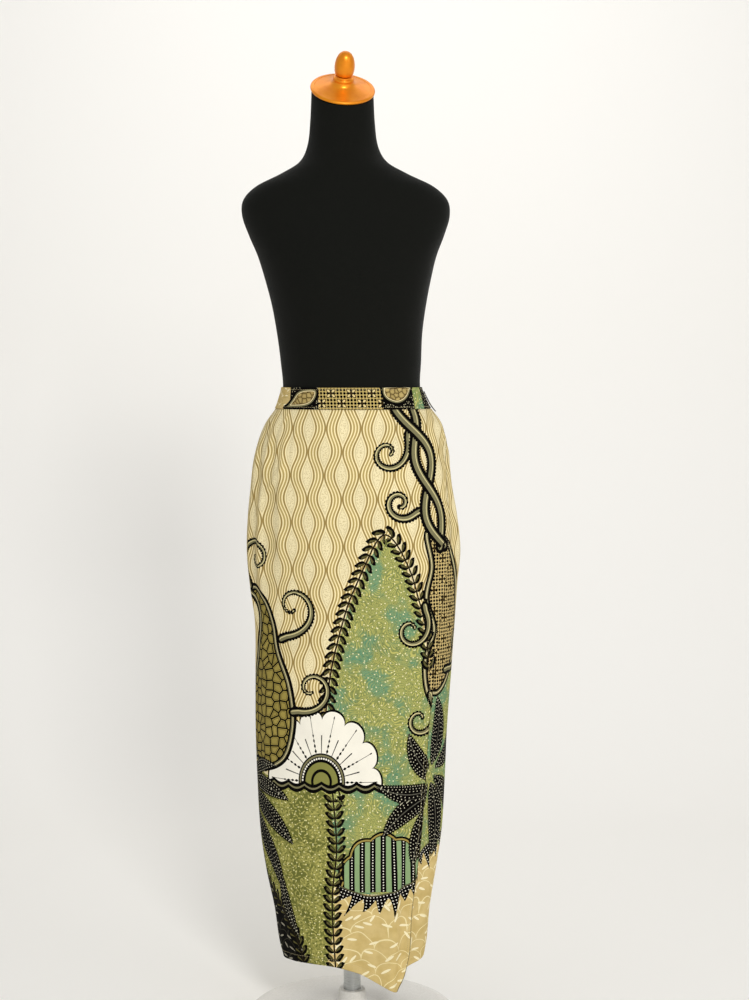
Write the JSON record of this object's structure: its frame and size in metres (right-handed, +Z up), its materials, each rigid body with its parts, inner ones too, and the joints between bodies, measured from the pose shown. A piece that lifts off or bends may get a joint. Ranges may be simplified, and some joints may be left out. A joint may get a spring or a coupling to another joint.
{
  "type": "batik wrap skirt on dress form",
  "caption": "Ankle-length batik wrap skirt with a waistband and a low front corner, worn on a black limbless dress form with a gold neck cap, a pole and a round base.",
  "frame": {"origin": "middle of the round base's underside, on the floor, below the pole", "axes": "+Z up along the pole; -Y is the front of the skirt and form; +X is the side where the upper front layer ends"},
  "size_m": [0.3596, 0.34, 1.5879],
  "materials": {
    "batik_cotton": "matte",
    "black_jersey": "matte",
    "gold_lacquered_wood": "satin",
    "brushed_pole_steel": "satin",
    "pale_enamel_steel": "satin"
  },
  "bodies": {
    "root": {"skirt_upper_front": "batik_cotton", "skirt_under_front": "batik_cotton", "skirt_back": "batik_cotton", "waistband": "batik_cotton", "tie_end": "batik_cotton", "form_torso": "black_jersey", "form_cap": "gold_lacquered_wood", "form_knob": "gold_lacquered_wood", "form_flange": "brushed_pole_steel", "form_pole": "brushed_pole_steel", "form_base": "pale_enamel_steel"}
  },
  "joints": []
}
